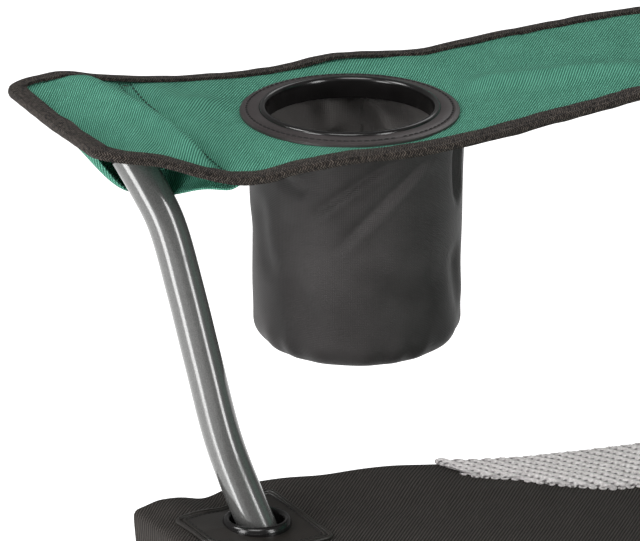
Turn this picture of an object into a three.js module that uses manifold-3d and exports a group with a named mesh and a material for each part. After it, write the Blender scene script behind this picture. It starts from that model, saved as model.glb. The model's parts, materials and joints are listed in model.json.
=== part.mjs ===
// Folding camp chair with four scissor pairs, fabric seat, back and arms, and one cup holder.
// Millimetres, +Z up, the chair faces -Y, and its feet stand on z = 0.
import * as THREE from 'three';
import { mergeVertices } from 'three/addons/utils/BufferGeometryUtils.js';
import Module from 'manifold-3d';

const wasm = await Module();
wasm.setup();

// ---- driving dimensions -------------------------------------------------
const CORNER = 250;            // corner column to centre plane, in X and in Y
const PIN_INSET = 34;          // corner column to the pins of its two tubes
const FOOT_PIN_Z = 38;
const TOP_PIN_Z = 418;
const X_TUBE_R = 8;
const X_TUBE_WALL = 1.2;
const PAIR_OFFSET = 10;        // each tube of a pair from the pair's middle plane
const TUBE_END = 12;           // tube beyond its end pin
const POST_R = 9.5;            // arm posts and rear uprights
const POST_WALL = 1.3;
const RIVET_R = 3;
const RIVET_HEAD_R = 6;
const RIVET_HEAD_H = 2.5;
const TONGUE_T = 8;            // moulded tongue beside a tube end
const TONGUE_R = 14;
const COLUMN_R = 14.5;
const GAP = 0.3;               // touching pieces
const SLIDE_GAP = 0.4;         // slider round its upright
const SEAT_Z = 450;            // seat at its corner eyelets
const EYELET = { inner: 13, outer: 16.8, height: 7 };
const SHEET = 4;               // fabric solids
const UPRIGHT_BEND_Z = 660;
const UPRIGHT_TOP = { back: 30, z: 885 };
const CUP = { x: -323, y: -179, ringInner: 42, ringOuter: 54, depth: 121, bagR: 53 };
const CUP_SIDE = -1;           // the cup holder is in the arm at -X
const MID_Y = 13;               // puts the box centre of the whole chair on the origin

const PIN = CORNER - PIN_INSET;

// ---- materials ------------------------------------------------------------
const material = (color, roughness, metalness = 0) =>
  new THREE.MeshStandardMaterial({ color, roughness, metalness });
const paint = material(0x6b6b69, 0.35, 0.6);
const steel = material(0xb8b8b8, 0.3, 1);
const plastic = material(0x1d1c1c, 0.5);
const black = material(0x2b2928, 0.9);
const green = material(0x3c8c6e, 0.85);
const vinyl = material(0x353030, 0.4);

// ---- the chair ------------------------------------------------------------
const group = new THREE.Group();
group.position.y = MID_Y;

function place(name, geometry, finish, parent = group) {
  const mesh = new THREE.Mesh(geometry, finish);
  mesh.name = name;
  parent.add(mesh);
  return mesh;
}

// ---- solids ---------------------------------------------------------------
function toSolid(geometry) {
  const bare = geometry.clone();
  bare.deleteAttribute('normal');
  bare.deleteAttribute('uv');
  const welded = mergeVertices(bare, 1e-4);
  return new wasm.Manifold(new wasm.Mesh({
    numProp: 3,
    vertProperties: new Float32Array(welded.attributes.position.array),
    triVerts: new Uint32Array(welded.index.array),
  }));
}

function toGeometry(solid) {
  const mesh = solid.getMesh();
  const geometry = new THREE.BufferGeometry();
  geometry.setAttribute('position', new THREE.BufferAttribute(mesh.vertProperties, 3));
  geometry.setIndex(new THREE.BufferAttribute(mesh.triVerts, 1));
  return geometry;
}

function rod(radius, from, to, sides = 16) {
  const span = to.clone().sub(from);
  const geometry = new THREE.CylinderGeometry(radius, radius, span.length(), sides);
  const turn = new THREE.Quaternion();
  turn.setFromUnitVectors(new THREE.Vector3(0, 1, 0), span.clone().normalize());
  geometry.applyQuaternion(turn);
  const middle = from.clone().add(to).multiplyScalar(0.5);
  return geometry.translate(middle.x, middle.y, middle.z);
}

const upright = (radius, x, y, low, high, sides) =>
  rod(radius, new THREE.Vector3(x, y, low), new THREE.Vector3(x, y, high), sides);

function block(low, high) {
  const size = high.map((value, i) => value - low[i]);
  const geometry = new THREE.BoxGeometry(...size);
  return geometry.translate(...low.map((value, i) => value + size[i] / 2));
}

// Lathe profiles are [radius, z] pairs turned about Z.
function lathe(profile, sides) {
  const points = profile.map(([radius, z]) => new THREE.Vector2(radius, z));
  return new THREE.LatheGeometry(points, sides).rotateX(Math.PI / 2);
}

// A tube along a curve: an annulus swept by extrusion, open at both ends.
function tubeAlong(curve, radius, wall, steps, sides) {
  const section = new THREE.Shape();
  section.absarc(0, 0, radius, 0, Math.PI * 2);
  const bore = new THREE.Path();
  bore.absarc(0, 0, radius - wall, 0, Math.PI * 2, true);
  section.holes.push(bore);
  return new THREE.ExtrudeGeometry(section, {
    steps, extrudePath: curve, curveSegments: sides, bevelEnabled: false,
  });
}

// A closed sheet: surface(u, v) is its middle, thickened along Z or Y.
function sheet(surface, cellsU, cellsV, thickness, along = 'z') {
  const points = [];
  const faces = [];
  const row = cellsV + 1;
  const layer = (cellsU + 1) * row;
  for (const side of [1, -1]) {
    for (let i = 0; i <= cellsU; i += 1) {
      for (let j = 0; j <= cellsV; j += 1) {
        const p = surface(i / cellsU, j / cellsV);
        p[along] += side * thickness / 2;
        points.push(p.x, p.y, p.z);
      }
    }
  }
  const quad = (a, b, c, d) => faces.push(a, b, c, a, c, d);
  for (let i = 0; i < cellsU; i += 1) {
    for (let j = 0; j < cellsV; j += 1) {
      const a = i * row + j;
      quad(a, a + row, a + row + 1, a + 1);
      quad(layer + a, layer + a + 1, layer + a + row + 1, layer + a + row);
    }
  }
  for (let i = 0; i < cellsU; i += 1) {
    const a = i * row;
    const b = a + cellsV;
    quad(a, a + layer, a + row + layer, a + row);
    quad(b, b + row, b + row + layer, b + layer);
  }
  for (let j = 0; j < cellsV; j += 1) {
    const b = cellsU * row + j;
    quad(j, j + 1, j + 1 + layer, j + layer);
    quad(b, b + layer, b + 1 + layer, b + 1);
  }
  const geometry = new THREE.BufferGeometry();
  geometry.setAttribute('position', new THREE.Float32BufferAttribute(points, 3));
  geometry.setIndex(faces);
  return toSolid(geometry).volume() > 0 ? geometry : flipped(geometry);
}

function flipped(geometry) {
  const index = geometry.index.array;
  for (let i = 0; i < index.length; i += 3) {
    [index[i], index[i + 1]] = [index[i + 1], index[i]];
  }
  return geometry;
}

// ---- scissor pairs ----------------------------------------------------------
// A pair lies in its own frame: s runs along the chair's side and t across it.
// The rising tube has its foot at -s; offset is its place across the pair.
function rivet(low, high, collar = 0) {
  const profile = [[0, low - RIVET_HEAD_H], [RIVET_HEAD_R - 1.5, low - RIVET_HEAD_H],
    [RIVET_HEAD_R, low], [RIVET_R, low]];
  if (collar > 0) {
    const half = PAIR_OFFSET - X_TUBE_R - GAP;
    profile.push([RIVET_R, -half], [collar, -half], [collar, half], [RIVET_R, half]);
  }
  profile.push([RIVET_R, high], [RIVET_HEAD_R, high],
    [RIVET_HEAD_R - 1.5, high + RIVET_HEAD_H], [0, high + RIVET_HEAD_H]);
  return lathe(profile, 10).rotateX(-Math.PI / 2);
}

function xTube(name, rising, offset, side) {
  const slope = new THREE.Vector3(2 * PIN * rising, 0, TOP_PIN_Z - FOOT_PIN_Z).normalize();
  const foot = new THREE.Vector3(-PIN * rising, offset, FOOT_PIN_Z);
  const top = new THREE.Vector3(PIN * rising, offset, TOP_PIN_Z);
  const low = foot.clone().addScaledVector(slope, -TUBE_END);
  const high = top.clone().addScaledVector(slope, TUBE_END);
  let tube = toSolid(tubeAlong(new THREE.LineCurve3(low, high), X_TUBE_R, X_TUBE_WALL, 1, 6));
  const middle = foot.clone().add(top).multiplyScalar(0.5);
  for (const at of [foot, middle, top]) {
    const from = new THREE.Vector3(at.x, offset - 2 * X_TUBE_R, at.z);
    const to = new THREE.Vector3(at.x, offset + 2 * X_TUBE_R, at.z);
    tube = tube.subtract(toSolid(rod(RIVET_R + GAP, from, to, 8)));
  }
  place(name, toGeometry(tube), paint, side);
}

function pair(name, x, y, turn, offset) {
  const side = new THREE.Group();
  side.position.set(x, y, 0);
  side.rotation.z = turn;
  group.add(side);
  xTube(`${name}_rising_tube`, 1, offset, side);
  xTube(`${name}_falling_tube`, -1, -offset, side);
  const reach = PAIR_OFFSET + X_TUBE_R + GAP;
  const middle = place(`${name}_cross_rivet`, rivet(-reach, reach, 6.5), steel, side);
  middle.position.z = (FOOT_PIN_Z + TOP_PIN_Z) / 2;
  const pins = [['rising_foot', -1, offset, FOOT_PIN_Z], ['rising_top', 1, offset, TOP_PIN_Z],
    ['falling_foot', 1, -offset, FOOT_PIN_Z], ['falling_top', -1, -offset, TOP_PIN_Z]];
  for (const [end, s, t, z] of pins) {
    const near = t - Math.sign(t) * (X_TUBE_R + 2 * GAP + TONGUE_T);
    const far = t + Math.sign(t) * (X_TUBE_R + GAP);
    const pin = place(`${name}_${end}_pin`,
      rivet(Math.min(near - Math.sign(t) * GAP, far), Math.max(near - Math.sign(t) * GAP, far)),
      steel, side);
    pin.position.set(s * PIN, 0, z);
  }
}

pair('front', 0, -CORNER, 0, -PAIR_OFFSET);
pair('rear', 0, CORNER, 0, PAIR_OFFSET);
pair('left', -CORNER, 0, Math.PI / 2, PAIR_OFFSET);
pair('right', CORNER, 0, Math.PI / 2, -PAIR_OFFSET);

// ---- moulded corner pieces ----------------------------------------------------
// tongueX and tongueY are the offsets of the tubes that a corner's tongues stand beside.
function tongues(x, y, z, tongueX, tongueY) {
  const inX = -Math.sign(x);
  const inY = -Math.sign(y);
  const beside = (offset) => offset - Math.sign(offset) * (X_TUBE_R + GAP + TONGUE_T / 2);
  const tubeX = y + beside(tongueX);
  const tubeY = x + beside(tongueY);
  const half = TONGUE_T / 2;
  const endX = x + inX * PIN_INSET;
  const endY = y + inY * PIN_INSET;
  const barX = block([Math.min(x, endX), tubeX - half, z - TONGUE_R + 2],
    [Math.max(x, endX), tubeX + half, z + TONGUE_R - 2]);
  const barY = block([tubeY - half, Math.min(y, endY), z - TONGUE_R + 2],
    [tubeY + half, Math.max(y, endY), z + TONGUE_R - 2]);
  const eyeX = rod(TONGUE_R - 2, new THREE.Vector3(endX, tubeX - half, z),
    new THREE.Vector3(endX, tubeX + half, z), 12);
  const eyeY = rod(TONGUE_R - 2, new THREE.Vector3(tubeY - half, endY, z),
    new THREE.Vector3(tubeY + half, endY, z), 12);
  const holeX = rod(RIVET_R + GAP, new THREE.Vector3(endX, tubeX - TONGUE_T, z),
    new THREE.Vector3(endX, tubeX + TONGUE_T, z), 8);
  const holeY = rod(RIVET_R + GAP, new THREE.Vector3(tubeY - TONGUE_T, endY, z),
    new THREE.Vector3(tubeY + TONGUE_T, endY, z), 8);
  const solid = toSolid(barX).add(toSolid(barY)).add(toSolid(eyeX)).add(toSolid(eyeY));
  return { solid, holes: toSolid(holeX).add(toSolid(holeY)) };
}

const FOOT_PAD = [[0, 0], [19, 0], [22, 3], [22, 12], [COLUMN_R, 19], [0, 19]];

function foot(name, x, y, tubeX, tubeY, holdsUpright) {
  const { solid, holes } = tongues(x, y, FOOT_PIN_Z, tubeX, tubeY);
  const columnTop = holdsUpright ? 72 : 54;
  let body = solid.add(toSolid(lathe(FOOT_PAD, 16).translate(x, y, 0)));
  body = body.add(toSolid(upright(COLUMN_R, x, y, 10, columnTop, 16))).subtract(holes);
  if (holdsUpright) {
    body = body.subtract(toSolid(upright(POST_R + GAP, x, y, UPRIGHT_LOW - GAP, 90, 16)));
  }
  place(name, toGeometry(body), plastic);
}

const UPRIGHT_LOW = 14;
foot('front_left_foot', -CORNER, -CORNER, -PAIR_OFFSET, -PAIR_OFFSET, false);
foot('front_right_foot', CORNER, -CORNER, PAIR_OFFSET, PAIR_OFFSET, false);
foot('rear_left_foot', -CORNER, CORNER, PAIR_OFFSET, PAIR_OFFSET, true);
foot('rear_right_foot', CORNER, CORNER, -PAIR_OFFSET, -PAIR_OFFSET, true);

function slider(name, x, tubeX, tubeY) {
  const { solid, holes } = tongues(x, CORNER, TOP_PIN_Z, tubeX, tubeY);
  const sleeve = upright(COLUMN_R, x, CORNER, TOP_PIN_Z - 20, TOP_PIN_Z + 20, 16);
  const bore = upright(POST_R + SLIDE_GAP, x, CORNER, TOP_PIN_Z - 40, TOP_PIN_Z + 40, 16);
  const body = solid.add(toSolid(sleeve)).subtract(toSolid(bore)).subtract(holes);
  place(name, toGeometry(body), plastic);
}

slider('rear_left_slider', -CORNER, -PAIR_OFFSET, -PAIR_OFFSET);
slider('rear_right_slider', CORNER, PAIR_OFFSET, PAIR_OFFSET);

// ---- arm posts ------------------------------------------------------------------
// The post leans outwards and forwards in one upright plane. Its profile is the run out
// from the corner column against the height, with a bend above the seat and one at the top.
const LEAN = new THREE.Vector2(-0.84, -0.543);
const POST_PROFILE = [[-5, 403], [6, 424], [20, 450], [38, 489], [50, 530], [60, 566],
  [70, 598], [81, 617], [92, 632]];

function postPoint(run, z, side) {
  return new THREE.Vector3(side * (CORNER - LEAN.x * run), -CORNER + LEAN.y * run, z);
}

function postCurve(side) {
  const points = POST_PROFILE.map(([run, z]) => postPoint(run, z, side));
  return new THREE.CatmullRomCurve3(points, false, 'centripetal');
}

function armSide(name, side) {
  const curve = postCurve(side);
  const post = tubeAlong(curve, POST_R, POST_WALL, 12, 7);
  place(`${name}_arm_post`, post, paint);
  const cap = place(`${name}_arm_post_cap`, lathe([[0, -8], [POST_R - POST_WALL - GAP, -8],
    [POST_R - POST_WALL - GAP, GAP], [POST_R, GAP], [POST_R - 1, 3], [5, 5], [0, 5.5]], 12), plastic);
  cap.position.copy(curve.getPointAt(1));
  cap.quaternion.setFromUnitVectors(new THREE.Vector3(0, 0, 1), curve.getTangentAt(1));

  const cornerX = side * CORNER;
  const outward = side * PAIR_OFFSET;
  const { solid, holes } = side < 0
    ? tongues(cornerX, -CORNER, TOP_PIN_Z, PAIR_OFFSET, PAIR_OFFSET)
    : tongues(cornerX, -CORNER, TOP_PIN_Z, -PAIR_OFFSET, -outward);
  const hub = upright(COLUMN_R, cornerX, -CORNER, TOP_PIN_Z - 20, TOP_PIN_Z + 6, 16);
  const socket = rod(COLUMN_R - 0.5, postPoint(-4, 405, side), postPoint(12.4, 436, side), 16);
  const slope = postPoint(12.4, 436, side).sub(postPoint(-4, 405, side)).normalize();
  const far = postPoint(12.4, 436, side).addScaledVector(slope, 30);
  const bore = rod(POST_R + GAP + 0.3, curve.getPointAt(0).addScaledVector(slope, -GAP), far, 16);
  const body = solid.add(toSolid(hub)).add(toSolid(socket)).subtract(toSolid(bore)).subtract(holes);
  place(`front_${name}_bracket`, toGeometry(body), plastic);
}

armSide('left', -1);
armSide('right', 1);

// ---- rear uprights ---------------------------------------------------------------
function rearUpright(name, side) {
  const x = side * CORNER;
  const curve = new THREE.CurvePath();
  const top = new THREE.Vector3(x, CORNER + UPRIGHT_TOP.back, UPRIGHT_TOP.z);
  const bend = new THREE.Vector3(x, CORNER, UPRIGHT_BEND_Z + 30);
  const straight = new THREE.Vector3(x, CORNER, UPRIGHT_BEND_Z);
  const lean = bend.clone().add(top.clone().sub(bend).normalize().multiplyScalar(30));
  curve.add(new THREE.LineCurve3(new THREE.Vector3(x, CORNER, UPRIGHT_LOW), straight));
  curve.add(new THREE.QuadraticBezierCurve3(straight, bend, lean));
  curve.add(new THREE.LineCurve3(lean, top));
  place(`rear_${name}_upright`, tubeAlong(curve, POST_R, POST_WALL, 16, 6), paint);
  const cap = place(`rear_${name}_upright_cap`, lathe([[0, -8],
    [POST_R - POST_WALL - GAP, -8], [POST_R - POST_WALL - GAP, GAP], [POST_R, GAP],
    [POST_R - 1, 4], [5, 6], [0, 6.5]], 12), plastic);
  cap.position.copy(top);
  cap.quaternion.setFromUnitVectors(new THREE.Vector3(0, 0, 1), top.clone().sub(lean).normalize());
}

rearUpright('left', -1);
rearUpright('right', 1);

// ---- seat ---------------------------------------------------------------------------
const SEAT = { frontY: -302, bandY: -221, middleY: 4.5, rearY: 230, cornerX: 227,
  frontHalf: 313, rearHalf: 272, sideSag: 13, frontSag: 16 };

function seatZ(x, y) {
  const deep = Math.max(0, 1 - (y / 261) ** 2) ** 2;
  const side = Math.max(0, 1 - (x / 267) ** 2);
  return SEAT_Z - SEAT.sideSag * deep - SEAT.frontSag * side;
}

function seatHalf(y) {
  const share = (y - SEAT.frontY) / (SEAT.rearY - SEAT.frontY);
  return SEAT.frontHalf + (SEAT.rearHalf - SEAT.frontHalf) * share;
}

function seatPanel(lowX, highX, lowY, highY, cellsX, cellsY) {
  return sheet((u, v) => {
    const y = lowY + (highY - lowY) * v;
    const x = lowX(y) + (highX(y) - lowX(y)) * u;
    return new THREE.Vector3(x, y, seatZ(x, y));
  }, cellsX, cellsY, SHEET);
}

const eyeletAt = (side) => postPoint(20, SEAT_Z, side);

function seatCorner(name, side) {
  const inner = () => side * (SEAT.cornerX + GAP / 2);
  const outer = (y) => side * seatHalf(y);
  const panel = side < 0
    ? seatPanel(outer, inner, SEAT.frontY, SEAT.bandY - GAP / 2, 3, 3)
    : seatPanel(inner, outer, SEAT.frontY, SEAT.bandY - GAP / 2, 3, 3);
  const at = eyeletAt(side);
  const hole = upright(EYELET.outer + GAP, at.x, at.y, SEAT_Z - 20, SEAT_Z + 20, 24);
  place(`seat_${name}_corner`, toGeometry(toSolid(panel).subtract(toSolid(hole))), black);
  const half = EYELET.height / 2;
  const ring = lathe([[EYELET.inner, -half + 1.5], [EYELET.inner + 1, -half],
    [EYELET.outer - 1, -half], [EYELET.outer, -half + 1.5], [EYELET.outer, half - 1.5],
    [EYELET.outer - 1, half], [EYELET.inner + 1, half], [EYELET.inner, half - 1.5],
    [EYELET.inner, -half + 1.5]], 24);
  place(`seat_${name}_eyelet`, ring, vinyl).position.copy(at);
}

seatCorner('left', -1);
seatCorner('right', 1);
const bandEdge = SEAT.cornerX - GAP / 2;
place('seat_front_band', seatPanel(() => -bandEdge, () => bandEdge, SEAT.frontY,
  SEAT.bandY - GAP / 2, 8, 2), black);
place('seat_front_panel', seatPanel((y) => -seatHalf(y), seatHalf, SEAT.bandY + GAP / 2,
  SEAT.middleY - GAP / 2, 10, 4), green);
place('seat_rear_panel', seatPanel((y) => -seatHalf(y), seatHalf, SEAT.middleY + GAP / 2,
  SEAT.rearY, 10, 4), green);

// ---- arms ------------------------------------------------------------------------------
const ARM = { frontY: -336, splitY: -60, rearY: 236, z: 648, sag: 14 };

// Half width and centre line of the arm, both measured out from the chair's middle.
function armPlan(y, cup) {
  const share = (y - ARM.frontY) / (ARM.rearY - ARM.frontY);
  const swell = cup ? 15 * Math.exp(-(((y - CUP.y) / 70) ** 2)) : 0;
  return { half: 60 - 8 * share + swell, middle: 346 - 74 * share };
}

// The arm dips by its sag where the cup holder hangs, and is level there.
function armZ(y) {
  const down = THREE.MathUtils.smoothstep(y, CUP.y - 130, CUP.y - 62);
  const up = THREE.MathUtils.smoothstep(y, CUP.y + 62, CUP.y + 240);
  return ARM.z - ARM.sag * (down - up);
}

function armPanel(side, lowY, highY, cells, cup) {
  return sheet((u, v) => {
    const y = lowY + (highY - lowY) * v;
    const { half, middle } = armPlan(y, cup);
    return new THREE.Vector3(side * middle + (u - 0.5) * 2 * half, y, armZ(y));
  }, 4, cells, SHEET);
}

function arm(name, side) {
  const cup = side === CUP_SIDE;
  let front = toSolid(armPanel(side, ARM.frontY, ARM.splitY - GAP / 2, 14, cup));
  if (cup) {
    front = front.subtract(toSolid(upright(CUP.ringInner + 4, CUP.x, CUP.y, ARM.z - 40,
      ARM.z + 40, 32)));
  }
  place(`${name}_arm_front`, toGeometry(front), green);
  place(`${name}_arm_rear`, armPanel(side, ARM.splitY + GAP / 2, ARM.rearY, 8, cup), green);
}

arm('left', -1);
arm('right', 1);

// ---- cup holder ----------------------------------------------------------------------------
const cupTop = armZ(CUP.y) + SHEET / 2 + 1.6;
const ring = lathe([[CUP.ringInner, -9], [CUP.ringInner + 2.4, -9], [CUP.ringInner + 2.4, 0],
  [CUP.ringOuter, 0], [CUP.ringOuter, 2], [CUP.ringInner + 1, 3], [CUP.ringInner, 2],
  [CUP.ringInner, -9]], 24);
place('cup_ring', ring, vinyl).position.set(CUP.x, CUP.y, cupTop);
const bagTop = -SHEET - 9.5;
const bagLow = -CUP.depth;
const bag = lathe([[0, bagLow], [CUP.bagR - 16, bagLow], [CUP.bagR - 5, bagLow + 5],
  [CUP.bagR, bagLow + 16], [CUP.bagR, bagTop], [CUP.bagR - 2.5, bagTop],
  [CUP.bagR - 2.5, bagLow + 17], [CUP.bagR - 7, bagLow + 7], [CUP.bagR - 17, bagLow + 2.5],
  [0, bagLow + 2.5]], 24);
const BAG_SHIFT = { x: 2, y: 3 };
place('cup_bag', bag, black).position.set(CUP.x + BAG_SHIFT.x, CUP.y + BAG_SHIFT.y, cupTop);

// ---- back -----------------------------------------------------------------------------------
const BACK = { low: 470, high: 872, half: 237, dip: 26, bow: 34 };

function uprightY(z) {
  const slope = UPRIGHT_TOP.back / (UPRIGHT_TOP.z - UPRIGHT_BEND_Z - 30);
  return CORNER + Math.max(0, z - UPRIGHT_BEND_Z - 30) * slope;
}

place('back_panel', sheet((u, v) => {
  const x = (u - 0.5) * 2 * BACK.half;
  const across = 1 - (x / BACK.half) ** 2;
  const top = BACK.high - BACK.dip * across;
  const z = BACK.low + (top - BACK.low) * v;
  return new THREE.Vector3(x, uprightY(z) + BACK.bow * across * (0.4 + 0.6 * v), z);
}, 10, 5, SHEET, 'y'), green);

export default group;
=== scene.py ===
"""Folding camp chair: fabric, seams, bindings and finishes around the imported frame."""
import json
import math

import bpy
import numpy as np
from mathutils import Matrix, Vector


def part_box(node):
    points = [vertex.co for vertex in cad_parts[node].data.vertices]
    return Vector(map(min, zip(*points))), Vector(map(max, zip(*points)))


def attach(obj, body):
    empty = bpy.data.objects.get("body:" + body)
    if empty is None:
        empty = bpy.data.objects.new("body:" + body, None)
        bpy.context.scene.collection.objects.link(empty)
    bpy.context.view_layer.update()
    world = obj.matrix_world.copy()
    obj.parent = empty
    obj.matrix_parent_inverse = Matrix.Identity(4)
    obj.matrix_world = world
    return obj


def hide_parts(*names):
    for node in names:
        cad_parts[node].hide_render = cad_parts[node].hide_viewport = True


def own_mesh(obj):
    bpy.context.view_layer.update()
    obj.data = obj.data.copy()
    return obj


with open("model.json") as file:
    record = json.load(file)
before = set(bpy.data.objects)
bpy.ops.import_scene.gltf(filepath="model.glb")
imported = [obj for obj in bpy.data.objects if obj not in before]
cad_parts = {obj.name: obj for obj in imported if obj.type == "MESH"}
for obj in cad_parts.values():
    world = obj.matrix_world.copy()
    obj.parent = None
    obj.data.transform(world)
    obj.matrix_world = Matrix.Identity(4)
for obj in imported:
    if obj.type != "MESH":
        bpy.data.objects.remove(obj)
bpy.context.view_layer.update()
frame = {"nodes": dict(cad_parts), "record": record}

MM = 0.001
UP = np.array([0, 0, 1.0])
BODY = {node: body for body, nodes in frame["record"]["behaviour"]["bodies"].items()
        for node in nodes}
SLOT = {row["node"]: row["material_slot"] for row in frame["record"]["subparts"]}


# ---- places taken from the frame, in millimetres ---------------------------
def box_mm(node):
    low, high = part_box(node)
    return np.array(low) / MM, np.array(high) / MM


def centre_mm(node):
    low, high = box_mm(node)
    return (low + high) / 2


POST_R = 9.5
X_TUBE_R = 8.0
EYELET = centre_mm("seat_left_eyelet")
RING = centre_mm("cup_ring")
RING_OUTER = (box_mm("cup_ring")[1][0] - box_mm("cup_ring")[0][0]) / 2
RING_INNER = RING_OUTER - 12
BAG = centre_mm("cup_bag")
BAG_LOW = box_mm("cup_bag")[0][2]
BAG_R = (box_mm("cup_bag")[1][0] - box_mm("cup_bag")[0][0]) / 2
UPRIGHT_LOW, UPRIGHT_HIGH = box_mm("rear_left_upright")
REAR_Y = UPRIGHT_LOW[1] + POST_R                # upright's middle, where it is straight
CORNER = -(UPRIGHT_LOW[0] + UPRIGHT_HIGH[0]) / 2
MID_Y = REAR_Y - CORNER
ARM_FRONT = box_mm("left_arm_front")[0][1]
ARM_SPLIT = box_mm("left_arm_rear")[0][1]
ARM_REAR = box_mm("left_arm_rear")[1][1]
ARM_Z = box_mm("left_arm_front")[1][2] - 2
ARM_SAG = 14.0
SEAT_Z = EYELET[2]
SEAT_FRONT = box_mm("seat_front_band")[0][1]
BAND_REAR = box_mm("seat_front_band")[1][1]
SEAT_MIDDLE = box_mm("seat_front_panel")[1][1]
SEAT_REAR = box_mm("seat_rear_panel")[1][1]
CORNER_X = -box_mm("seat_left_corner")[1][0]
SEAT_HALF_FRONT = -box_mm("seat_left_corner")[0][0]
SEAT_HALF_REAR = 272.0
BACK_LOW, BACK_HIGH = box_mm("back_panel")


# ---- small mathematics -----------------------------------------------------
def ease(value, low, high):
    share = np.clip((value - low) / (high - low), 0, 1)
    return share * share * (3 - 2 * share)


def bump(value, centre, width):
    return np.exp(-((value - centre) / width) ** 2)


def ripple(x, y, seed, wave):
    """Unevenness of cloth between -1 and 1: a sum of a few sine waves of about that length."""
    rng = np.random.default_rng(seed)
    waves = 8
    total = np.zeros_like(np.asarray(x, float) + np.asarray(y, float))
    for _ in range(waves):
        angle, phase = rng.uniform(0, 2 * math.pi, 2)
        pitch = wave * rng.uniform(0.6, 1.6)
        along = x * math.cos(angle) + y * math.sin(angle)
        total = total + np.sin(2 * math.pi * along / pitch + phase)
    return total / waves


def profile(points, soft=9):
    """A softened line through (place, value) pairs, as a function of place."""
    places, values = np.array(points, float).T
    fine = np.arange(places[0] - 40, places[-1] + 40)
    window = np.hanning(2 * soft + 1)
    line = np.pad(np.interp(fine, places, values), soft, "edge")
    line = np.convolve(line, window / window.sum(), "valid")
    return lambda place: np.interp(place, fine, line)


def unit(vectors):
    return vectors / np.maximum(np.linalg.norm(vectors, axis=-1, keepdims=True), 1e-12)


def grid_of(*axes):
    """Points from coordinates that spread over one another's rows and columns."""
    return np.stack(np.broadcast_arrays(*axes), axis=-1)


def circle(sides):
    angle = np.linspace(0, 2 * math.pi, sides, endpoint=False)
    return np.stack([np.cos(angle), np.sin(angle)], axis=1)


def run_along(path):
    """The distance from the start of a path to each of its points."""
    return np.concatenate([[0], np.cumsum(np.linalg.norm(np.diff(path, axis=0), axis=1))])


def resample(path, step):
    """Points about step apart along a path."""
    path = np.asarray(path, float)
    lengths = run_along(path)
    count = max(2, int(round(lengths[-1] / step)) + 1)
    at = np.linspace(0, lengths[-1], count)
    return np.stack([np.interp(at, lengths, path[:, k]) for k in range(3)], axis=1)


def smooth_path(points, step):
    """A Catmull-Rom curve through a few points, sampled about every step."""
    points = [Vector(p) for p in points]
    ends = [points[0] * 2 - points[1], *points, points[-1] * 2 - points[-2]]
    out = []
    for a, b, c, d in zip(ends, ends[1:], ends[2:], ends[3:]):
        for k in range(12):
            t = k / 12
            out.append(0.5 * (2 * b + (c - a) * t + (2 * a - 5 * b + 4 * c - d) * t * t
                              + (3 * b - a - 3 * c + d) * t * t * t))
    out.append(points[-1])
    return resample([tuple(p) for p in out], step)


def add_object(name, data):
    obj = bpy.data.objects.new(name, data)
    bpy.context.scene.collection.objects.link(obj)
    return obj


# ---- meshes ----------------------------------------------------------------
def make(name, verts, faces, uvs, sharp=50):
    """A smooth-shaded object from points in millimetres; uvs is one pair per point, in mm."""
    mesh = bpy.data.meshes.new(name)
    mesh.from_pydata((np.asarray(verts) * MM).tolist(), [], faces)
    mesh.validate()
    layer = mesh.uv_layers.new(name="weave")
    index = np.empty(len(mesh.loops), int)
    mesh.loops.foreach_get("vertex_index", index)
    layer.data.foreach_set("uv", np.asarray(uvs, float)[index].ravel())
    mesh.shade_smooth()
    mesh.set_sharp_from_angle(angle=math.radians(sharp))
    return add_object(name, mesh)


def finish_piece(obj, body, finish, replaces=None, inside=None):
    """Give a piece its material, and one for its inside; say what it rides on and replaces."""
    obj.data.materials.append(finish)
    if inside:
        obj.data.materials.append(inside)
    if body:
        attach(obj, body)
    if replaces:
        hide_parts(replaces)
    return obj


def cloth(name, points, thickness, uvs=None, flip=False, wrap=False, keep=None, slots=None,
          under=0):
    """A closed sheet of cloth round a grid of middle points (rows, columns, 3).

    The weave follows uvs, or else the plan. flip turns the sheet over, wrap joins its last row
    to its first, keep says which cells are cloth, slots gives their materials, and under is
    added to those for the lower side.
    """
    if uvs is None:
        uvs = points[..., :2]
    if flip:
        points, uvs = points[::-1], uvs[::-1]
        keep = None if keep is None else keep[::-1]
    rows, cols = points.shape[:2]
    down = np.gradient(points, axis=0)
    if wrap:
        down = (np.roll(points, -1, axis=0) - np.roll(points, 1, axis=0)) / 2
    normal = unit(np.cross(down, np.gradient(points, axis=1)))
    half = normal * (thickness / 2)
    count = rows * cols
    verts = np.concatenate([(points + half).reshape(-1, 3), (points - half).reshape(-1, 3)])
    top, kinds = [], []
    for i in range(rows if wrap else rows - 1):
        after = (i + 1) % rows
        for j in range(cols - 1):
            if keep is None or keep[i, j]:
                top.append((i * cols + j, after * cols + j, after * cols + j + 1,
                            i * cols + j + 1))
                kinds.append(0 if slots is None else int(slots[i, j]))
    edges = {}
    for face, kind in zip(top, kinds):
        for a, b in zip(face, face[1:] + face[:1]):
            edges[(a, b)] = kind
    faces = list(top) + [tuple(v + count for v in reversed(face)) for face in top]
    kinds = kinds + [kind + under for kind in kinds]
    for (a, b), kind in edges.items():
        if (b, a) not in edges:
            faces.append((b, a, a + count, b + count))
            kinds.append(kind)
    used = np.unique(np.array(faces).ravel())
    renumber = np.full(2 * count, -1)
    renumber[used] = np.arange(len(used))
    faces = [tuple(int(renumber[v]) for v in face) for face in faces]
    flat_uvs = np.concatenate([uvs.reshape(-1, 2)] * 2)[used]
    obj = make(name, verts[used], faces, flat_uvs)
    if slots is not None or under:
        obj.data.polygons.foreach_set("material_index", kinds)
    return obj


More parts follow.
